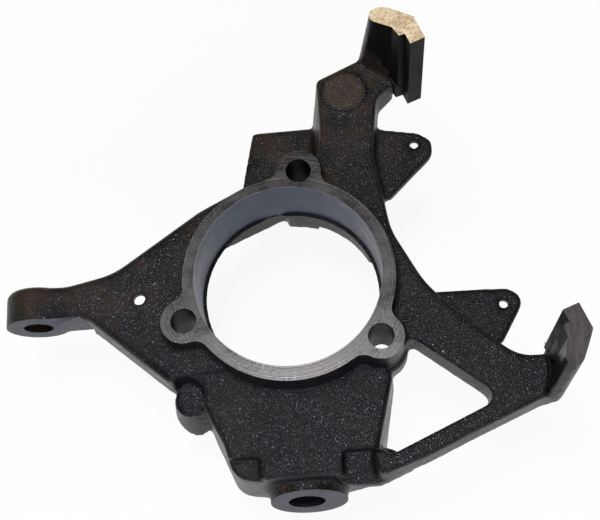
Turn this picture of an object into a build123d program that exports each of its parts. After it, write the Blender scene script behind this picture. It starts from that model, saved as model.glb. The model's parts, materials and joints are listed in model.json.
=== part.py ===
from build123d import *
import os
from math import cos, radians, sin, tan

# Left front steering knuckle of a solid axle: one iron casting, in millimetres.
# The origin is the centre of the hub bore on the machined ring face, with +Z outboard
# along the wheel axis and +Y towards the upper ball joint. The knuckle lies on its
# inboard side, and the kingpin axis leans in the plane X = 0.

# Hub seat
bore_d = 96.0
bore_depth = 36.8
rear_bore_d = 94.8
collar_depth = 52.0
collar_top_depth = 56.5
relief_wall = 3.5
relief_start = 91.0
relief_end = 187.0
ring_wall = 6.5
ring_depth = 40.0
ring_offset_x = 0.5
ring_offset_y = -1.0
bolt_circle_d = 115.0
bolt_count = 3
bolt_first_angle = 80.8
bolt_hole_d = 13.2
ear_r = 11.8
ear_blend_r = 7.0
ear_depth = 40.0
ear_foot_r = 13.8
ear_foot_start = 21.0
ear_foot_depth = 15.0

# Kingpin axis and the two ball-joint bosses, whose nuts seat on their lower faces
kingpin_angle = 9.0
seat_taper = 1 / 8
seat_run_out = 3.0
lower_face_y = -107.9
lower_face_z = -47.0
lower_boss_d = 40.0
lower_boss_x = 1.3
lower_boss_length = 25.0
lower_seat_d = 19.0
neck_d = 54.0
neck_start = 3.0
neck_length = 10.0
upper_face_y = 78.0
upper_boss_d = 44.0
upper_boss_length = 24.0
upper_seat_d = 16.5

# Steering arm and the tie-rod boss at its end
tie_rod_x = -136.3
tie_rod_z = -29.0
tie_rod_face_y = -8.8
tie_rod_boss_d = 33.6
tie_rod_boss_length = 18.8
tie_rod_chamfer = 2.5
spot_face_end_x = -113.0
tie_rod_seat_d = 15.5
arm_front_z = -12.5
arm_depth = 26.0
arm_draft = 3.0
arm_edge_r = 4.0
arm_web = 7.0
arm_hole_d = 6.5
arm_hole_x = -78.9
arm_hole_y = -2.2

# Steering stop boss
stop_x = -56.1
stop_y = -54.2
stop_z = -30.0
stop_d = 16.2
stop_length = 32.0
stop_draft = 9.0
stop_clearance = 1.2

# Lower web between the ring and the lower ball joint
web_front_z = -18.0
web_thickness = 14.0
web_chamfer = 1.6
skirt_end_z = -72.0
notch_depth = 6.5
notch_half_gap = 20.5
notch_y = -88.0
lower_arm_thickness = 20.0
rib_thickness = 10.0

# Calliper bracket with its two machined rails
bracket_front_z = -10.0
bracket_thickness = 18.0
bracket_draft = 4.0
bracket_edge_r = 1.5
calliper_angle = 20.0
rail_top_z = 44.0
rail_bottom_z = -20.0
upper_rail_flare = 11.0
lower_rail_flare = 3.0
upper_rail_reach = 21.1
lower_rail_reach = 18.2
rail_side_flare = 3.0
rail_lobe_r = 2.5
rail_lip = 8.1
rail_lip_depth = 6.2
upper_rail_u = 109.4
upper_rail_v = 70.0
lower_rail_u = 111.7
lower_rail_v = -84.0
pad_d = 24.0
pad_height = 0.8
pad_x = 36.6
pad_y = 105.6

# Dust-shield ears
shield_thickness = 6.0
shield_hole_d = 5.0
upper_shield_x = 72.6
upper_shield_y = 77.2
lower_shield_x = 109.5
lower_shield_y = -17.8

# Arm that carries the upper ball joint
upper_arm_front_z = -42.0
upper_arm_top_y = 102.3
upper_root_z = -57.5
block_pad_height = 0.8

bracket_back_z = bracket_front_z - bracket_thickness
web_back_z = web_front_z - web_thickness
arm_back_z = arm_front_z - arm_depth
seat_down = (Align.CENTER, Align.CENTER, Align.MAX)
seat_up = (Align.CENTER, Align.CENTER, Align.MIN)


def plate(points, radii, top_z, depth, draft=0.0, edge_r=0.0):
    """Cast form with rounded corners, from top_z inboard, with a softened front edge."""
    outline = make_face(FilletPolyline(*points, radius=radii, close=True))
    form = extrude(Plane.XY.offset(top_z) * outline, amount=-depth, taper=-draft)
    if edge_r > 0:
        front = form.faces().sort_by(Axis.Z)[-1]
        form = fillet(front.edges(), edge_r)
    return form


def kingpin_plane(y):
    """Plane across the kingpin axis at height y, with its normal up the axis."""
    lean = radians(kingpin_angle)
    z = lower_face_z - (y - lower_face_y) * tan(lean)
    return Plane(origin=(0, y, z), x_dir=(1, 0, 0), z_dir=(0, cos(lean), -sin(lean)))


def tie_rod_plane():
    return Plane(origin=(tie_rod_x, tie_rod_face_y, tie_rod_z), x_dir=(1, 0, 0), z_dir=(0, 1, 0))


def bolt_points():
    spots = []
    for number in range(bolt_count):
        angle = radians(bolt_first_angle + number * 360 / bolt_count)
        spots.append((bolt_circle_d / 2 * cos(angle), bolt_circle_d / 2 * sin(angle)))
    return spots


def sector(start, end, reach=120):
    """Wedge of the plan between two angles, for features on part of the ring."""
    corners = [(0, 0)]
    for angle in (start, (start + end) / 2, end):
        corners.append((reach * cos(radians(angle)), reach * sin(radians(angle))))
    return make_face(Polyline(*corners, close=True))


def hub_ring():
    """Ring wall with its bolt ears, and the deeper collar on the calliper side."""
    circle = Pos(ring_offset_x, ring_offset_y) * Circle(bore_d / 2 + ring_wall)
    outline = circle
    for x, y in bolt_points():
        outline += Pos(x, y) * Circle(ear_r)
    outline = fillet(outline.vertices(), ear_blend_r)
    eared = extrude(outline, amount=-ear_depth)
    for x, y in bolt_points():
        eared += Pos(x, y, -ear_foot_start) * Cylinder(ear_foot_r, ear_foot_depth, align=seat_down)
    wall = extrude(circle, amount=-ring_depth)
    collar = extrude(circle & sector(-30, 72), amount=-collar_depth)
    collar += extrude(circle & sector(70, 91), amount=-collar_top_depth)
    ring = eared + wall + collar
    relief_r = bore_d / 2 + ring_wall - relief_wall
    relief = Plane.XY.offset(-bore_depth) * (Circle(relief_r) & sector(relief_start, relief_end))
    return ring - extrude(relief, amount=-ring_depth)


def lower_web():
    """Front web and its flared skirt, with a lowered corner on each side of the middle."""
    front = [(-30, -30), (-56, -44), (-43, -71), (-38.3, -80), (-34.2, -97), (-20, -99.6),
             (22, -99.2), (31.5, -97.5), (38.3, -90), (49, -52), (40, -25)]
    back = [(-30, -30), (-57, -44), (-48, -72), (-44.2, -80), (-36.5, -99), (-20, -101.6),
            (22, -101.6), (35.5, -99), (41.5, -89), (51, -52), (40, -25)]
    radii = [4, 6, 8, 15, 12, 6, 6, 9, 6, 6, 4]
    front_wire = FilletPolyline(*front, radius=radii, close=True)
    back_wire = FilletPolyline(*back, radius=radii, close=True)
    web = loft([Plane.XY.offset(web_front_z) * make_face(front_wire),
                Plane.XY.offset(skirt_end_z) * make_face(back_wire)], ruled=True)
    web = chamfer(web.faces().sort_by(Axis.Z)[-1].edges(), web_chamfer)
    for side in (-1, 1):
        align = (Align.MIN if side > 0 else Align.MAX, Align.MAX, Align.MIN)
        corner = Box(60, 40, 2 * notch_depth, align=align)
        web -= Pos(side * notch_half_gap, notch_y, web_front_z - notch_depth) * corner
    return web


def web_cavity():
    """Room behind the web for the axle yoke, between the lower arm and the ring."""
    floor_y = lower_face_y + lower_arm_thickness + 6
    side_x = 38 - rib_thickness + 4
    points = [(-side_x, floor_y), (side_x, floor_y), (side_x + 8, 0), (-side_x - 8, 0)]
    return plate(points, [8, 8, 2, 2], web_back_z, 60, 4)


def rib_trim():
    """Slope that takes the side ribs back from the ring to the lower arm."""
    floor_y = lower_face_y + lower_arm_thickness + 6
    side = Polyline((floor_y, -90), (floor_y, skirt_end_z - 1), (-46, -42), (20, -42), (20, -90), close=True)
    return extrude(Plane.YZ.offset(-90) * make_face(side), amount=180)


def upper_arm():
    """Root on the ring and the arm that reaches inboard to the upper ball joint."""
    root = plate([(-43.4, 35.5), (-4, 51.9), (20, 48), (40, 38), (50, 60), (40, 80), (21, 84),
                  (-20, 66), (-24, 62), (-43, 46)],
                 [3, 2, 2, 2, 6, 6, 6, 2, 2, 6], arm_back_z + 4, arm_back_z + 4 - upper_root_z)
    block = plate([(-26.6, 56), (-23.8, 73), (-17.4, upper_arm_top_y), (20.5, upper_arm_top_y), (24, 56)],
                  [3, 8, 3, 3, 3], upper_arm_front_z, upper_arm_front_z - upper_root_z)
    block += plate([(-10.2, upper_arm_top_y - 2), (-10.6, 87), (22, 85), (22, upper_arm_top_y - 2)],
                   [2, 2, 1, 1], upper_arm_front_z + block_pad_height, 4)
    nose = plate([(-22, upper_face_y), (-19, upper_arm_top_y), (20, upper_arm_top_y), (22, upper_face_y)],
                 [3, 4, 4, 3], upper_root_z + 5, 30)
    return root + block + nose


def bracket():
    """Calliper bracket: upper arm, long outer edge and the strut to the lower web."""
    points = [(15, 45), (22.2, 85), (22, 114.8), (46, 125.2), (64, 121), (62.8, 108.8),
              (54, 100.8), (49.4, 70), (54.8, 24), (69.2, -6), (88.4, -28.9), (112.3, -49.0),
              (125.6, -49.3), (130, -50.5), (135, -62), (130.5, -69), (120.6, -71.2),
              (84.5, -85.8), (62, -95.3), (38, -103.2), (36, -91.5), (46, -88), (62, -42), (48, -30), (40, -20)]
    radii = [0, 20, 2, 8, 2, 2, 7, 40, 40, 50, 50, 20,
             0, 0, 0, 0, 0, 30, 30, 3, 0, 0, 0, 0, 0]
    body = plate(points, radii, bracket_front_z, bracket_thickness, bracket_draft, bracket_edge_r)
    pad = Pos(pad_x, pad_y, bracket_front_z) * Cylinder(pad_d / 2, pad_height, align=seat_up)
    opening = plate([(58.8, -33.2), (102.6, -69.3), (38, -96.6), (50, -50)],
                    [4, 6, 4.5, 3], 0, 90, -3)
    return body + pad - opening


def strut_root():
    """Lower shelf where the strut runs into the skirt beside the ball-joint neck."""
    points = [(10, -92), (20, -103.6), (38, -104.6), (58, -96.8), (46, -88), (30, -84)]
    return plate(points, [3, 8, 10, 2, 2, 3], web_front_z - notch_depth - 1, 9, 4)


def bracket_flank():
    """Side of the upper bracket arm that flares down to the upper arm's root."""
    front = Polyline((22, 70), (22, 113), (34, 115), (34, 70), close=True)
    back = Polyline((13, 70), (18.6, 112), (34, 114), (34, 70), close=True)
    top_plane = Plane.XY.offset(bracket_front_z - 1)
    low_plane = Plane.XY.offset(upper_arm_front_z)
    return loft([top_plane * make_face(front), low_plane * make_face(back)], ruled=True)


def shield_ears():
    top_z = bracket_back_z + shield_thickness
    upper = plate([(45, 90), (75.5, 83.6), (82.2, 78.5), (82, 70), (56.4, 46), (45, 50)],
                  [3, 8, 5, 8, 3, 3], top_z, shield_thickness)
    lower = plate([(60, -7.8), (112.5, -9.5), (118.2, -13.8), (118.8, -19), (106.5, -38.6), (80, -40)],
                  [3, 7, 4, 7, 3, 3], top_z, shield_thickness)
    return upper + lower


def rail_face(outline, radii, outer_u, abutment_v, side, z):
    """Plan face from distances in from the rail's outer end and off its abutment."""
    turn = radians(calliper_angle)
    points = []
    for inward, away in outline:
        u = outer_u - inward
        v = abutment_v + side * away
        points.append((u * cos(turn) - v * sin(turn), u * sin(turn) + v * cos(turn)))
    return Plane.XY.offset(z) * make_face(FilletPolyline(*points, radius=radii, close=True))


def rail(outer_u, abutment_v, side, reach, flare, bottom_z):
    """Calliper rail: flared cast back, with a machined lip, seat and V groove."""
    place = (outer_u, abutment_v, side)
    top = [(0, 0), (11.9, 0), (12.4, 12.5), (reach, 21.2), (reach - 3, 26), (11, 25), (4.5, 18.3),
           (0, 13.4)]
    radii = [0.5, 0.5, 4, rail_lobe_r, rail_lobe_r, rail_lobe_r, 4, 2]
    base = []
    for inward, away in top:
        spread = away > 18
        base.append((inward + (rail_side_flare if spread else 0), away + (flare if spread else 0)))
    groove = [(-9, 13), (0, 13), (0, 0), (rail_lip, 0), (rail_lip, rail_lip_depth), (11.2, 6.6),
              (12.4, 12.5), (reach, 21.2), (30, 21.2), (30, -9), (-9, -9)]
    sharp = [0] * len(groove)
    form = loft([rail_face(top, radii, *place, rail_top_z), rail_face(base, radii, *place, bottom_z)],
                ruled=True)
    cutter = rail_face(groove, sharp, *place, rail_top_z + 1)
    form -= extrude(cutter, amount=bottom_z - rail_top_z - 2)
    lip = [(0, 0), (rail_lip, 0), (rail_lip, rail_lip_depth), (11.2, 6.6), (11.2, 12), (0, 12)]
    return form + extrude(rail_face(lip, sharp[:6], *place, rail_top_z - 20),
                          amount=rail_bottom_z - rail_top_z + 20)


def steering_arm():
    """Arm web with deep walls, closed at the front and hollow behind."""
    points = [(-140, 9.6), (-118, 8.3), (-93, 13.4), (-46, 44.6), (-20.4, 57.0), (-10, 20),
              (-30, -44), (-50, -44), (-64.3, -48), (-106.5, -10.5), (-114, -8.8), (-140, -8.8)]
    radii = [1, 30, 40, 20, 3, 3, 4, 4, 6, 8, 8, 1]
    arm = plate(points, radii, arm_front_z, arm_depth, arm_draft, arm_edge_r)
    hollow = [(-98, -7), (-96, 3), (-62, 24), (-58, -38), (-66, -36)]
    arm -= plate(hollow, [4, 4, 4, 4, 4], arm_front_z - arm_web, arm_depth, 4)
    return arm


def tie_rod_boss():
    boss = tie_rod_plane() * Cylinder(tie_rod_boss_d / 2, tie_rod_boss_length, align=seat_up)
    return chamfer(boss.edges().group_by(Axis.Y)[-1], tie_rod_chamfer)


def tie_rod_spot_face():
    """Machining cut that leaves the flat nut face and runs a little way up the arm."""
    cut = Box(2 * tie_rod_boss_d, 20, 4 * tie_rod_boss_d, align=(Align.MAX, Align.MAX, Align.CENTER))
    return Pos(spot_face_end_x, tie_rod_face_y, tie_rod_z) * cut


def stop_boss():
    face = Pos(stop_x, stop_y, stop_z) * Circle(stop_d / 2)
    return extrude(face, amount=-stop_length, taper=-stop_draft)


def taper_seat(plane, small_d, boss_length):
    """Tapered bore for a joint stud, small end at the nut face, cut clear past the boss."""
    length = boss_length + seat_run_out
    big_d = small_d + length * seat_taper
    return plane * Cone(small_d / 2, big_d / 2, length, align=seat_up)


body = hub_ring() + lower_web() + steering_arm()
body -= Pos(stop_x, stop_y, stop_z) * Cylinder(stop_d / 2 + stop_clearance, 40, align=seat_up)
body += stop_boss()
body += tie_rod_boss()
body -= tie_rod_spot_face()
body -= web_cavity()
body -= rib_trim()
body += upper_arm()
body += bracket() + bracket_flank() + strut_root()
body += kingpin_plane(lower_face_y) * Pos(lower_boss_x, 0) * Cylinder(
    lower_boss_d / 2, lower_boss_length, align=seat_up)
body += kingpin_plane(lower_face_y) * Pos(lower_boss_x, 0, neck_start) * Cone(
    lower_boss_d / 2, neck_d / 2, neck_length, align=seat_up)
body += kingpin_plane(upper_face_y) * Cylinder(upper_boss_d / 2, upper_boss_length, align=seat_up)
body += shield_ears()
body += rail(upper_rail_u, upper_rail_v, 1, upper_rail_reach, upper_rail_flare, rail_bottom_z)
body += rail(lower_rail_u, lower_rail_v, -1, lower_rail_reach, lower_rail_flare, bracket_front_z - 2)
body -= Cylinder(bore_d / 2, bore_depth, align=seat_down)
body -= Cylinder(rear_bore_d / 2, 200, align=seat_down)
for x, y in bolt_points():
    body -= Pos(x, y) * Cylinder(bolt_hole_d / 2, 200)
for x, y in ((upper_shield_x, upper_shield_y), (lower_shield_x, lower_shield_y)):
    body -= Pos(x, y, bracket_back_z) * Cylinder(shield_hole_d / 2, 40)
body -= Pos(arm_hole_x, arm_hole_y, arm_front_z) * Cylinder(arm_hole_d / 2, 90)
body -= taper_seat(kingpin_plane(lower_face_y), lower_seat_d, lower_boss_length)
body -= taper_seat(kingpin_plane(upper_face_y), upper_seat_d, upper_boss_length)
body -= taper_seat(tie_rod_plane(), tie_rod_seat_d, tie_rod_boss_length)
print(body.is_valid, len(body.solids()), body.volume)
os.makedirs("parts", exist_ok=True)
export_step(body, "parts/steering_knuckle.step")
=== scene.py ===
import bpy
import json
from math import cos, hypot, radians, sin
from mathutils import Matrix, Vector

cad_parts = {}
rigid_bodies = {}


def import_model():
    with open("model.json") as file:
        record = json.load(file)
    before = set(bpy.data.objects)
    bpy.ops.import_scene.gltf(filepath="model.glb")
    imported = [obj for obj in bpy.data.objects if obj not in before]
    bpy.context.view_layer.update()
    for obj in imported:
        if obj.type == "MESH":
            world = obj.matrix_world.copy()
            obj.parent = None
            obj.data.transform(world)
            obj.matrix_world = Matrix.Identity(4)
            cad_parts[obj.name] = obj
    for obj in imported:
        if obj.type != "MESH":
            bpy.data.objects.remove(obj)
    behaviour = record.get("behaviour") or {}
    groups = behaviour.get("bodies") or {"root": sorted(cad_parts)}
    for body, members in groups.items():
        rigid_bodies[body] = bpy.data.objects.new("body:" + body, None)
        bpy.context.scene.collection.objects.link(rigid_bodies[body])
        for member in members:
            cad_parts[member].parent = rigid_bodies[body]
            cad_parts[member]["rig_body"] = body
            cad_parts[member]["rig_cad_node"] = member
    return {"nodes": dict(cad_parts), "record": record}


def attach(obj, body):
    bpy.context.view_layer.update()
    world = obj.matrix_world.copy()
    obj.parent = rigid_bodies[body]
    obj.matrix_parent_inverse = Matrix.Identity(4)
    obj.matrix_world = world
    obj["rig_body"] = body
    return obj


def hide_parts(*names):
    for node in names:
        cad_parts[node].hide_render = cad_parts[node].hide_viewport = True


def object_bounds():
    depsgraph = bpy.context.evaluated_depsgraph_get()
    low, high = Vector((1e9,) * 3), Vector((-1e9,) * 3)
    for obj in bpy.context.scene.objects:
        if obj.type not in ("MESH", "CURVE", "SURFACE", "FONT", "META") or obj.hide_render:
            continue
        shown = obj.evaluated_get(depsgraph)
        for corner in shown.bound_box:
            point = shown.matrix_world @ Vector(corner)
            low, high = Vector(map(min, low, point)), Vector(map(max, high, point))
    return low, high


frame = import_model()
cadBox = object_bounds()
mm = 0.001
near = 0.05 * mm     # a point this close to a machined surface lies on it
knuckle = frame["nodes"]["steering_knuckle"]
mounts = {mount["name"]: mount for mount in frame["record"]["mounts"]}


def makeActive(piece):
    if bpy.context.object and bpy.context.object.mode != "OBJECT":
        bpy.ops.object.mode_set(mode="OBJECT")
    bpy.ops.object.select_all(action="DESELECT")
    piece.select_set(True)
    bpy.context.view_layer.objects.active = piece


def applyModifier(piece, kind, **settings):
    makeActive(piece)
    modifier = piece.modifiers.new(kind.lower(), kind)
    for name, value in settings.items():
        setattr(modifier, name, value)
    bpy.ops.object.modifier_apply(modifier=modifier.name)


def joinInto(piece, extras):
    makeActive(piece)
    for extra in extras:
        extra.select_set(True)
    bpy.ops.object.join()


def cutWith(piece, cutter):
    applyModifier(piece, "BOOLEAN", operation="DIFFERENCE", object=cutter, solver="MANIFOLD")
    bpy.data.objects.remove(cutter)


def addTo(piece, extra):
    applyModifier(piece, "BOOLEAN", operation="UNION", object=extra, solver="MANIFOLD")
    bpy.data.objects.remove(extra)


cameraSetup = {
    "place": (0.0319, -0.1868, 0.5288),
    "turn": (19.885, 4.031, -3.666),     # degrees
    "lens": 66.44,
    "sensor": 36,
}

bpy.ops.object.camera_add(location=cameraSetup["place"],
                          rotation=[radians(a) for a in cameraSetup["turn"]])
camera = bpy.context.object
camera.data.sensor_width = cameraSetup["sensor"]
camera.data.lens = cameraSetup["lens"]
bpy.context.scene.camera = camera
print("camera set")


hub = {
    "radius": mounts["hub_bore"]["dims"]["r_mm"] * mm,
    "depth": mounts["hub_bore"]["dims"]["length_mm"] * mm,
    "face": 75 * mm,         # radius that takes in the ring face and its ears
}
bolts = {
    "circle": mounts["hub_bolts"]["dims"]["pcd_mm"] / 2 * mm,
    "count": mounts["hub_bolts"]["dims"]["count"],
    "hole": mounts["hub_bolts"]["dims"]["hole_r_mm"] * mm,
    "first": 80.8,           # degrees
    "bottom": -90 * mm,
}
boltSpots = []
for number in range(bolts["count"]):
    angle = radians(bolts["first"] + 360 / bolts["count"] * number)
    boltSpots.append((bolts["circle"] * cos(angle), bolts["circle"] * sin(angle)))

# nut faces: radius and depth of the taper below the face, and how far the face reaches from its axis
nutFaces = {
    "lower": {"mount": "lower_nut_face", "seat": "lower_joint_seat",
              "hole": 9.5 * mm, "depth": 28 * mm, "reach": 22 * mm},
    "upper": {"mount": "upper_nut_face", "seat": "upper_joint_seat",
              "hole": 8.25 * mm, "depth": 27 * mm, "reach": 24 * mm},
    "tieRod": {"mount": "tie_rod_nut_face", "seat": "tie_rod_seat",
               "hole": 7.75 * mm, "depth": 21.8 * mm, "reach": 26 * mm},
}
seatTaper = 1 / 8
for nut in nutFaces.values():
    nut["spot"] = Vector(mounts[nut["mount"]]["pos_m"])
    nut["way"] = Vector(mounts[nut["mount"]]["axis"])
    nut["centre"] = Vector(mounts[nut["seat"]]["pos_m"])

# rails: widths run inward from the outer face, depths run along the rail from its abutment
rails = {
    "turn": 20,              # degrees
    "top": 44 * mm,
    "foot": -8 * mm,
    "bottom": -20 * mm,
    "padWidth": 8.1 * mm,
    "padDepth": 6.2 * mm,
    "shoulder": (11.2 * mm, 6.6 * mm),
    "waist": (12.4 * mm, 12.5 * mm),
    "sideDepth": 21.2 * mm,
    "outerDepth": 13 * mm,
    "lipRise": 0.2 * mm,
    "upper": {"outer": 109.4 * mm, "abutment": 70 * mm, "side": 1, "reach": 21.1 * mm, "clear": 12.7 * mm},
    "lower": {"outer": 111.7 * mm, "abutment": -84 * mm, "side": -1, "reach": 18.2 * mm, "clear": 9.3 * mm},
}
railPair = (rails["upper"], rails["lower"])

# raised round pad at the top of the bracket, put back at full height after the skin is softened
pad = {
    "x": 36.6 * mm,
    "y": 105.6 * mm,
    "radius": 12 * mm,
    "top": -9.2 * mm,
    "depth": 4 * mm,
}

castSkin = {
    "merge": 0.01 * mm,
    "voxel": 1.15 * mm,
    "soften": 7,             # passes
    "smoothAngle": 32,       # degrees
    "stock": 2.5 * mm,       # left on every machined face until it is cut
    "boreStock": 1.8 * mm,
    "railStock": 1.5 * mm,
    "railBlock": (12.9 * mm, 12.6 * mm),
    "lipDepth": 12 * mm,
    "lap": 1 * mm,           # the rail block starts and the lip cut ends this far above the foot
}

cutters = {
    "hub": 4 * mm,           # how far each one runs past the metal that it takes away
    "rail": 9 * mm,
    "railBottom": 2 * mm,
    "nutFace": 4 * mm,
    "taper": 1 * mm,
    "railEnd": 40 * mm,      # side of the block that squares a rail's end
    "nutSlab": 10 * mm,      # thickness of what faces a nut face
}


def copyCasting():
    makeActive(knuckle)
    bpy.ops.object.duplicate()
    piece = bpy.context.object
    piece.name = "castKnuckle"
    piece.parent = None
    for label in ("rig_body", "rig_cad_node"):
        if label in piece:
            del piece[label]
    piece.data.materials.clear()
    bpy.ops.object.mode_set(mode="EDIT")
    bpy.ops.mesh.select_all(action="SELECT")
    bpy.ops.mesh.remove_doubles(threshold=castSkin["merge"])
    bpy.ops.object.mode_set(mode="OBJECT")
    return piece


def leaveStock(piece):
    for vertex in piece.data.vertices:
        x, y, z = vertex.co
        reach = hypot(x, y)
        if abs(z) < near and reach < hub["face"]:
            vertex.co.z += castSkin["stock"]
        if z > rails["top"] - near:
            vertex.co.z += castSkin["stock"]
        if abs(reach - hub["radius"]) < near:
            inward = (reach - castSkin["boreStock"]) / reach
            vertex.co.x *= inward
            vertex.co.y *= inward
        for bx, by in boltSpots:
            off = Vector((x - bx, y - by))
            if abs(off.length - bolts["hole"]) < near:
                inward = off.normalized() * (off.length - castSkin["boreStock"])
                vertex.co.x = bx + inward.x
                vertex.co.y = by + inward.y
        for nut in nutFaces.values():
            off = Vector((x, y, z)) - nut["spot"]
            aside = Vector((x, y, z)) - nut["centre"]
            aside -= nut["way"] * aside.dot(nut["way"])
            if abs(off.dot(nut["way"])) < near and aside.length < nut["reach"]:
                vertex.co += nut["way"] * castSkin["stock"]


def addPrism(outline, top, bottom, rail):
    bpy.ops.mesh.primitive_circle_add(vertices=len(outline), radius=1, fill_type="NGON")
    prism = bpy.context.object
    turn = radians(rails["turn"])
    for vertex, (inward, away) in zip(prism.data.vertices, outline):
        u = rail["outer"] - inward
        v = rail["abutment"] + rail["side"] * away
        vertex.co = (u * cos(turn) - v * sin(turn), u * sin(turn) + v * cos(turn), bottom)
    bpy.ops.object.mode_set(mode="EDIT")
    bpy.ops.mesh.select_all(action="SELECT")
    bpy.ops.mesh.extrude_region_move(TRANSFORM_OT_translate={"value": (0, 0, top - bottom)})
    bpy.ops.mesh.select_all(action="SELECT")
    bpy.ops.mesh.normals_make_consistent(inside=False)
    bpy.ops.object.mode_set(mode="OBJECT")
    return prism


def addRod(radius, top, bottom, x=0, y=0, vertices=96):
    bpy.ops.mesh.primitive_cylinder_add(vertices=vertices, radius=radius, depth=top - bottom,
                                        location=(x, y, (top + bottom) / 2))
    bpy.ops.object.transform_apply(location=True)
    return bpy.context.object


def rectangle(start, inward, away):
    return [(start, start), (inward, start), (inward, away), (start, away)]


def growSkin(piece):
    start = -castSkin["railStock"]
    extras = []
    for rail in railPair:
        extras.append(addPrism(rectangle(start, *castSkin["railBlock"]), rails["top"] + castSkin["stock"],
                               rails["foot"] + castSkin["lap"], rail))
        extras.append(addPrism(rectangle(start, rail["clear"], castSkin["lipDepth"]),
                               rails["foot"], rails["bottom"], rail))
    joinInto(piece, extras)
    applyModifier(piece, "REMESH", mode="VOXEL", voxel_size=castSkin["voxel"])
    applyModifier(piece, "SMOOTH", factor=0.5, iterations=castSkin["soften"])


def raisePad(piece):
    addTo(piece, addRod(pad["radius"], pad["top"], pad["top"] - pad["depth"], pad["x"], pad["y"]))


def machineHub(piece):
    high = castSkin["stock"] + cutters["hub"]
    cutWith(piece, addRod(hub["face"], high, 0))
    cutWith(piece, addRod(hub["radius"], high, -hub["depth"], vertices=192))
    for bx, by in boltSpots:
        cutWith(piece, addRod(bolts["hole"], high, bolts["bottom"], bx, by))


def machineRail(piece, rail):
    past = cutters["rail"]
    high = rails["top"] + past
    side = rail["reach"] + past
    lip = rail["clear"] + rails["lipRise"]
    seat = [(-past, rails["outerDepth"]), (0, rails["outerDepth"]), (0, 0), (rails["padWidth"], 0),
            (rails["padWidth"], rails["padDepth"])]
    groove = seat + [rails["shoulder"], rails["waist"], (rail["reach"], rails["sideDepth"]),
                     (side, rails["sideDepth"]), (side, -past), (-past, -past)]
    belowGroove = seat + [(lip, rails["padDepth"] + rails["lipRise"]), (lip, -past), (-past, -past)]
    cutWith(piece, addPrism(groove, high, rails["foot"], rail))
    cutWith(piece, addPrism(belowGroove, rails["foot"] + castSkin["lap"],
                            rails["bottom"] - cutters["railBottom"], rail))
    end = rectangle(-past, cutters["railEnd"], cutters["railEnd"])
    cutWith(piece, addPrism(end, high, rails["top"], rail))


def machineNutFace(piece, nut):
    way = nut["way"]
    # on the face, on the taper's own axis
    centre = nut["centre"] - way * (nut["centre"] - nut["spot"]).dot(way)
    turned = way.to_track_quat("Z", "Y").to_euler()
    past = cutters["taper"]
    bpy.ops.mesh.primitive_cylinder_add(vertices=64, radius=nut["reach"] + cutters["nutFace"],
                                        depth=cutters["nutSlab"], rotation=turned,
                                        location=centre + way * (cutters["nutSlab"] / 2))
    bpy.ops.object.transform_apply(location=True, rotation=True)
    cutWith(piece, bpy.context.object)
    bpy.ops.mesh.primitive_cone_add(vertices=72, radius2=nut["hole"] - past * seatTaper / 2,
                                    radius1=nut["hole"] + nut["depth"] * seatTaper / 2,
                                    depth=nut["depth"] + past, rotation=turned,
                                    location=centre - way * (nut["depth"] - past) / 2)
    bpy.ops.object.transform_apply(location=True, rotation=True)
    cutWith(piece, bpy.context.object)


def trimToBox(piece):
    for vertex in piece.data.vertices:
        for axis in range(3):
            vertex.co[axis] = min(max(vertex.co[axis], cadBox[0][axis]), cadBox[1][axis])


casting = copyCasting()
leaveStock(casting)
growSkin(casting)
raisePad(casting)
print("casting skin grown:", len(casting.data.polygons), "faces")
machineHub(casting)
for rail in railPair:
    machineRail(casting, rail)
for nut in nutFaces.values():
    machineNutFace(casting, nut)
trimToBox(casting)
print("casting machined:", len(casting.data.polygons), "faces")
makeActive(casting)
bpy.ops.object.shade_smooth_by_angle(angle=radians(castSkin["smoothAngle"]))


def newMaterial(name):
    material = bpy.data.materials.new(name)
    material.use_nodes = True
    tree = material.node_tree
    return material, tree, tree.nodes["Principled BSDF"]


def objectPlace(tree):
    place = tree.nodes.get("Texture Coordinate") or tree.nodes.new("ShaderNodeTexCoord")
    return place.outputs["Object"]


# sets a socket from another socket, a colour or a number
def feed(tree, socket, value):
    if isinstance(value, bpy.types.NodeSocket):
        tree.links.new(value, socket)
    elif isinstance(value, tuple):
        socket.default_value = (*value, 1)
    else:
        socket.default_value = value


def addNoise(tree, scale, detail=4.0, rough=0.5, stretch=None, turn=0):
    noise = tree.nodes.new("ShaderNodeTexNoise")
    noise.inputs["Scale"].default_value = scale
    noise.inputs["Detail"].default_value = detail
    noise.inputs["Roughness"].default_value = rough
    place = objectPlace(tree)
    if stretch:
        mapping = tree.nodes.new("ShaderNodeMapping")
        mapping.inputs["Scale"].default_value = stretch
        mapping.inputs["Rotation"].default_value = (0, 0, radians(turn))
        tree.links.new(place, mapping.inputs["Vector"])
        place = mapping.outputs["Vector"]
    tree.links.new(place, noise.inputs["Vector"])
    return noise.outputs["Fac"]


def addGrains(tree, scale):
    grains = tree.nodes.new("ShaderNodeTexVoronoi")
    grains.feature = "SMOOTH_F1"
    grains.inputs["Scale"].default_value = scale
    grains.inputs["Smoothness"].default_value = 0.6
    tree.links.new(objectPlace(tree), grains.inputs["Vector"])
    return grains.outputs["Distance"]


def addRamp(tree, source, stops):
    ramp = tree.nodes.new("ShaderNodeValToRGB")
    first, last = ramp.color_ramp.elements
    first.position, first.color = stops[0][0], (*stops[0][1], 1)
    last.position, last.color = stops[-1][0], (*stops[-1][1], 1)
    for spot, colour in stops[1:-1]:
        step = ramp.color_ramp.elements.new(spot)
        step.color = (*colour, 1)
    tree.links.new(source, ramp.inputs["Fac"])
    return ramp.outputs["Color"]


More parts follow.
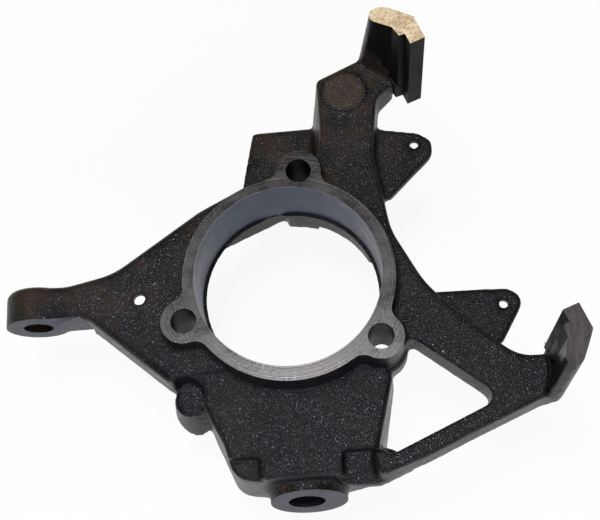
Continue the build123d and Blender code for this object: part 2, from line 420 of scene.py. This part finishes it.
def addRange(tree, source, low, high, toLow=0.0, toHigh=1.0):
    span = tree.nodes.new("ShaderNodeMapRange")
    span.inputs["From Min"].default_value = low
    span.inputs["From Max"].default_value = high
    span.inputs["To Min"].default_value = toLow
    span.inputs["To Max"].default_value = toHigh
    tree.links.new(source, span.inputs["Value"])
    return span.outputs["Result"]


def mixColour(tree, amount, under, over):
    mix = tree.nodes.new("ShaderNodeMix")
    mix.data_type = "RGBA"
    tree.links.new(amount, mix.inputs["Factor"])
    feed(tree, mix.inputs[6], under)
    feed(tree, mix.inputs[7], over)
    return mix.outputs[2]


def addMath(tree, kind, *values):
    step = tree.nodes.new("ShaderNodeMath")
    step.operation = kind
    step.use_clamp = True
    for socket, value in zip(step.inputs, values):
        feed(tree, socket, value)
    return step.outputs["Value"]


def addBump(tree, height, depth, strength, below=None):
    bump = tree.nodes.new("ShaderNodeBump")
    bump.inputs["Distance"].default_value = depth
    feed(tree, bump.inputs["Strength"], strength)
    tree.links.new(height, bump.inputs["Height"])
    if below:
        tree.links.new(below, bump.inputs["Normal"])
    return bump.outputs["Normal"]


def splitPlace(tree):
    split = tree.nodes.new("ShaderNodeSeparateXYZ")
    tree.links.new(objectPlace(tree), split.inputs["Vector"])
    return split.outputs["X"], split.outputs["Y"], split.outputs["Z"]


def flatPlace(tree, x, y):
    flat = tree.nodes.new("ShaderNodeCombineXYZ")
    tree.links.new(x, flat.inputs["X"])
    tree.links.new(y, flat.inputs["Y"])
    return flat.outputs["Vector"]


def distanceFrom(tree, source, spot):
    away = tree.nodes.new("ShaderNodeVectorMath")
    away.operation = "DISTANCE"
    away.inputs[1].default_value = spot
    tree.links.new(source, away.inputs[0])
    return away.outputs["Value"]


castFinish = {
    "dark": (0.004, 0.004, 0.005),
    "mid": (0.009, 0.008, 0.008),
    "light": (0.018, 0.016, 0.016),
    "brownTint": (0.046, 0.028, 0.015),       # brown tint, heavier at the top and along the steering arm
    "brownTintFrom": 0.0,
    "brownTintTo": 0.11,
    "brownTintLean": -0.6,                    # how much of X counts beside Y
    "sparkle": (0.25, 0.25, 0.33),       # bare grain tips
    "tipsFrom": 0.668,
    "tipsTo": 0.74,
    "rail": (0.003, 0.003, 0.0035),
    "railFrom": 0.012,                   # height where the rails' own tone is full
    "bareTo": 0.008,                     # height where the grain tips stop being metal
    "cloud": 26,                         # noises and grain are per metre
    "patch": 55,
    "lump": 230,
    "grain": 1250,
    "grainDepth": 0.00024,
    "lumpDepth": 0.0004,
    "roughFrom": 0.26,
    "roughTo": 0.38,
    "specular": 0.12,
    "rust": (0.30, 0.11, 0.025),
    "rustSpot": (-0.0075, -0.1035, -0.0335),
    "rustSize": 0.0045,
    "rustRagged": 420,
}

# round pad: browner than the casting, with painted shade darkening the corner round it
padFinish = {
    "tone": (0.066, 0.047, 0.030),
    # painted shade: a near-black ring in the corner round the pad
    "paintedShade": (0.0015, 0.0015, 0.0015),
    "paintedShadeShare": 0.7,
    "paintedShadeFrom": 1.4 * mm,
    "paintedShadeTo": 0.6 * mm,
    "edgeFrom": 0.2 * mm,
    "edgeTo": 2.5 * mm,
    "below": (2.0 * mm, 1.2 * mm),
}


def colourPad(tree, under, grit, x, y, z):
    fromPad = distanceFrom(tree, flatPlace(tree, x, y), (pad["x"], pad["y"], 0))
    low, high = padFinish["below"]
    front = addRange(tree, z, pad["top"] - low, pad["top"] - high)
    # painted shade: darkens a ring just outside the pad's edge, near the height of its top
    paintedShade = addRange(tree, fromPad, pad["radius"] + padFinish["paintedShadeFrom"],
                     pad["radius"] + padFinish["paintedShadeTo"])
    paintedShade = addMath(tree, "MULTIPLY", paintedShade, padFinish["paintedShadeShare"])
    outlined = mixColour(tree, addMath(tree, "MULTIPLY", paintedShade, front), under, padFinish["paintedShade"])
    onPad = addRange(tree, fromPad, pad["radius"] + padFinish["edgeFrom"],
                     pad["radius"] - padFinish["edgeTo"])
    worn = addMath(tree, "MULTIPLY", addMath(tree, "MULTIPLY", onPad, front),
                   addRange(tree, grit, 0.36, 0.62, toLow=0.25))
    return mixColour(tree, worn, outlined, padFinish["tone"])


def addRust(tree, under):
    look = castFinish
    spot = addRange(tree, distanceFrom(tree, objectPlace(tree), look["rustSpot"]),
                    look["rustSize"], look["rustSize"] * 0.4)
    ragged = addRange(tree, addNoise(tree, look["rustRagged"], 3), 0.38, 0.55)
    return mixColour(tree, addMath(tree, "MULTIPLY", spot, ragged), under, look["rust"])


def makeCastFinish():
    look = castFinish
    material, tree, shader = newMaterial("castCoating")
    x, y, z = splitPlace(tree)
    cloud = addNoise(tree, look["cloud"], 6, 0.62)
    patch = addNoise(tree, look["patch"], 5, 0.6)
    lump = addNoise(tree, look["lump"], 2)
    grains = addGrains(tree, look["grain"])
    grit = addNoise(tree, look["grain"] * 2.2, 2, 0.6)
    glint = addNoise(tree, look["grain"] * 1.7, 1)

    tint = addRamp(tree, cloud, [(0.30, look["dark"]), (0.50, look["mid"]), (0.75, look["light"])])
    lean = addMath(tree, "MULTIPLY_ADD", x, look["brownTintLean"], y)
    brownShare = addRange(tree, lean, look["brownTintFrom"], look["brownTintTo"], 0.02, 0.9)
    blotch = addRange(tree, patch, 0.40, 0.66)
    browned = mixColour(tree, addMath(tree, "MULTIPLY", brownShare, blotch), tint, look["brownTint"])
    tips = addRange(tree, glint, look["tipsFrom"], look["tipsTo"])
    sparkled = mixColour(tree, tips, colourPad(tree, browned, grit, x, y, z), look["sparkle"])
    coated = mixColour(tree, addRange(tree, z, 0.0, look["railFrom"]), sparkled, look["rail"])
    tree.links.new(addRust(tree, coated), shader.inputs["Base Color"])

    bare = addRange(tree, z, 0.0, look["bareTo"], 1.0, 0.0)
    tree.links.new(addMath(tree, "MULTIPLY", tips, bare), shader.inputs["Metallic"])
    tree.links.new(addRange(tree, patch, 0.35, 0.65, look["roughFrom"], look["roughTo"]),
                   shader.inputs["Roughness"])
    shader.inputs["Specular IOR Level"].default_value = look["specular"]

    relief = addRange(tree, z, 0.0, look["railFrom"], 1.0, 0.12)
    coarse = addBump(tree, lump, look["lumpDepth"], 0.25)
    pebbled = addBump(tree, grains, look["grainDepth"], relief, coarse)
    fine = addBump(tree, grit, look["grainDepth"] * 0.5, relief, pebbled)
    tree.links.new(fine, shader.inputs["Normal"])
    return material


# turned: marks that run round the hub axis; bored: marks that run round a wall; milled: short cross marks
machinedFinishes = {
    "facedRing": {"light": (0.086, 0.081, 0.082), "dark": (0.030, 0.027, 0.025),
                  "rough": 0.27, "metal": 0.85, "marks": "turned", "spots": 0.30},
    "boredWall": {"light": (0.030, 0.043, 0.076), "dark": (0.015, 0.022, 0.042),
                  "rough": 0.36, "metal": 0.5, "marks": "bored", "spots": 0.15},
    "yellowPassivation": {"light": (1.0, 0.80, 0.54), "dark": (0.40, 0.27, 0.13),
                          "rough": 0.55, "metal": 0.1, "marks": "grainy", "spots": 0.35},
    "milledRail": {"light": (0.004, 0.004, 0.0045), "dark": (0.002, 0.002, 0.0025),
                   "rough": 0.48, "metal": 0.0, "marks": "bored", "spots": 0.1},
    "cutRailEnd": {"light": (0.078, 0.068, 0.065), "dark": (0.034, 0.030, 0.029),
                   "rough": 0.42, "metal": 0.5, "marks": "milled", "spots": 0.3},
    "spotFace": {"light": (0.045, 0.048, 0.062), "dark": (0.022, 0.024, 0.033),
                 "rough": 0.4, "metal": 0.5, "marks": "milled", "spots": 0.25},
    # bolt holes: near-black walls, painted shade for the shadow down the holes
    "drilledHolePaintedShade": {"light": (0.003, 0.003, 0.005), "dark": (0.0015, 0.0015, 0.002),
                    "rough": 0.45, "metal": 0.0, "marks": "bored", "spots": 0.1},
}


def addTurnedMarks(tree):
    x, y, z = splitPlace(tree)
    marks = tree.nodes.new("ShaderNodeTexNoise")
    marks.noise_dimensions = "1D"
    marks.inputs["Scale"].default_value = 1500
    marks.inputs["Detail"].default_value = 3
    tree.links.new(distanceFrom(tree, flatPlace(tree, x, y), (0, 0, 0)), marks.inputs["W"])
    return marks.outputs["Fac"]


def addMarks(tree, kind):
    if kind == "turned":
        return addTurnedMarks(tree)
    if kind == "bored":
        return addNoise(tree, 900, 3, 0.6, stretch=(0.03, 0.03, 1))
    if kind == "milled":
        return addNoise(tree, 700, 3, 0.6, stretch=(1, 0.12, 0.12), turn=25)
    return addNoise(tree, 620, 4, 0.7)


def makeMachined(name):
    look = machinedFinishes[name]
    material, tree, shader = newMaterial(name)
    cloud = addNoise(tree, 70, 6, 0.65)
    marks = addMarks(tree, look["marks"])
    blend = addMath(tree, "ADD", addMath(tree, "MULTIPLY", marks, 0.5), addMath(tree, "MULTIPLY", cloud, 0.5))
    tint = addRamp(tree, blend, [(0.38, look["dark"]), (0.62, look["light"])])
    pits = addNoise(tree, 480, 3, 0.6)
    pitted = addRange(tree, pits, 0.58, 0.70, toHigh=look["spots"] * 2)
    stained = mixColour(tree, pitted, tint, tuple(c * 0.55 for c in look["dark"]))
    scratch = addNoise(tree, 520, 2, stretch=(1, 0.12, 1), turn=35)
    lines = addRange(tree, scratch, 0.66, 0.70, toHigh=look["spots"])
    finished = mixColour(tree, lines, stained, tuple(min(c * 1.9, 1) for c in look["light"]))
    tree.links.new(finished, shader.inputs["Base Color"])
    shader.inputs["Metallic"].default_value = look["metal"]
    shader.inputs["Specular IOR Level"].default_value = 0.2 if look["metal"] else 0.1
    tree.links.new(addRange(tree, cloud, 0.3, 0.7, look["rough"] - 0.06, look["rough"] + 0.1),
                   shader.inputs["Roughness"])
    markBump = addBump(tree, marks, 0.00008, 0.6)
    pitBump = addBump(tree, pits, 0.00012, 0.4, markBump)
    tree.links.new(pitBump, shader.inputs["Normal"])
    return material


# how far each finish reaches round the surface that it belongs to
finishZones = {
    "boreWall": 1.6 * mm,
    "boreBottom": 0.1 * mm,
    "boltHole": 0.1 * mm,
    "nutFace": 45 * mm,
    "railGroove": {"inward": (-1 * mm, 12.9 * mm), "away": (-1 * mm, 14 * mm)},
    "railSide": {"inward": (11 * mm, 24 * mm), "away": (8 * mm, 24 * mm)},
    "sideLean": 0.9,         # inward for each step away
    "sideFrom": (12.4 * mm, 12 * mm),
    "sideWidth": 1.5 * mm,
}


def isInside(zone, inward, away):
    return zone["inward"][0] < inward < zone["inward"][1] and zone["away"][0] < away < zone["away"][1]


def railPlace(point, rail):
    turn = radians(rails["turn"])
    u = point.x * cos(turn) + point.y * sin(turn)
    v = -point.x * sin(turn) + point.y * cos(turn)
    return rail["outer"] - u, rail["side"] * (v - rail["abutment"])


def isMilledRail(face, rail):
    inward, away = railPlace(face.center, rail)
    z = face.center.z
    tilt = abs(face.normal.z)
    if isInside(finishZones["railGroove"], inward, away) and z > rails["bottom"] and tilt < 0.2:
        return True
    if isInside(finishZones["railSide"], inward, away) and z > 0 and tilt < 0.3:
        startInward, startAway = finishZones["sideFrom"]
        leaned = (away - startAway) * finishZones["sideLean"] - (inward - startInward)
        return leaned < finishZones["sideWidth"]
    return False


def isNutFace(face, nut):
    off = face.center - nut["spot"]
    return (abs(off.dot(nut["way"])) < near and off.length < finishZones["nutFace"]
            and face.normal.dot(nut["way"]) > 0.9)


def isBoreWall(face):
    x, y, z = face.center
    return (abs(hypot(x, y) - hub["radius"]) < finishZones["boreWall"] and abs(face.normal.z) < 0.5
            and z > -hub["depth"] - finishZones["boreBottom"] and face.normal.x * x + face.normal.y * y < 0)


def pickFinish(face):
    x, y, z = face.center
    if z > -near and hypot(x, y) < hub["face"]:
        return "facedRing"
    if isBoreWall(face):
        return "boredWall"
    if z > rails["top"] - near:
        return "yellowPassivation" if y > 0 else "cutRailEnd"
    if min(hypot(x - bx, y - by) for bx, by in boltSpots) < bolts["hole"] + finishZones["boltHole"]:
        return "drilledHolePaintedShade"
    if any(isMilledRail(face, rail) for rail in railPair):
        return "milledRail"
    if any(isNutFace(face, nut) for nut in nutFaces.values()):
        return "spotFace"
    return "castCoating"


finishOrder = ["castCoating", *machinedFinishes]
casting.data.materials.clear()
casting.data.materials.append(makeCastFinish())
for name in machinedFinishes:
    casting.data.materials.append(makeMachined(name))
for face in casting.data.polygons:
    face.material_index = finishOrder.index(pickFinish(face))
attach(casting, "root")
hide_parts("steering_knuckle")
print("finishes on the casting")


studio = {
    "floor": (0.95, 0.95, 0.95),
    "floorWhite": 0.92,      # share of the floor that shows as plain white, the rest takes shadow
    "floorRough": 0.9,
    "floorSize": 60,
    "floorGap": 0.2 * mm,
    "worldLight": 0.15,
    "frontLamp": {"place": (0.1, -1.5, 0.75), "size": 0.7, "power": 17, "colour": (0.80, 0.86, 1.0)},
    "topLamp": {"place": (-0.08, 0.1, 1.8), "size": 0.5, "power": 22, "colour": (0.95, 0.97, 1.0)},
}


def addLamp(name):
    lamp = studio[name]
    bpy.ops.object.light_add(type="AREA", location=lamp["place"])
    light = bpy.context.object
    light.name = name
    light.data.size = lamp["size"]
    light.data.energy = lamp["power"]
    light.data.color = lamp["colour"]
    light.rotation_euler = (-Vector(lamp["place"])).to_track_quat("-Z", "Y").to_euler()


def makeWorld():
    world = bpy.data.worlds.new("studio")
    bpy.context.scene.world = world
    world.use_nodes = True
    back = world.node_tree.nodes["Background"]
    back.inputs["Color"].default_value = (1, 1, 1, 1)
    back.inputs["Strength"].default_value = studio["worldLight"]


def makeFloor():
    lowest = cadBox[0][2]
    bpy.ops.mesh.primitive_plane_add(size=studio["floorSize"], location=(0, 0, lowest - studio["floorGap"]))
    floor = bpy.context.object
    floor.name = "floor"
    material, tree, shader = newMaterial("floorPaper")
    feed(tree, shader.inputs["Base Color"], studio["floor"])
    shader.inputs["Roughness"].default_value = studio["floorRough"]
    path = tree.nodes.new("ShaderNodeLightPath")
    seen = addMath(tree, "ADD", path.outputs["Is Camera Ray"], path.outputs["Is Glossy Ray"])
    seen = addMath(tree, "ADD", seen, path.outputs["Is Transmission Ray"])
    share = addMath(tree, "MULTIPLY", seen, studio["floorWhite"])
    glow = tree.nodes.new("ShaderNodeEmission")
    blend = tree.nodes.new("ShaderNodeMixShader")
    tree.links.new(share, blend.inputs["Fac"])
    tree.links.new(shader.outputs["BSDF"], blend.inputs[1])
    tree.links.new(glow.outputs["Emission"], blend.inputs[2])
    tree.links.new(blend.outputs["Shader"], tree.nodes["Material Output"].inputs["Surface"])
    floor.data.materials.append(material)


makeWorld()
makeFloor()
addLamp("frontLamp")
addLamp("topLamp")
bpy.context.scene.view_settings.view_transform = "Standard"
print("floor, lamps and world set")
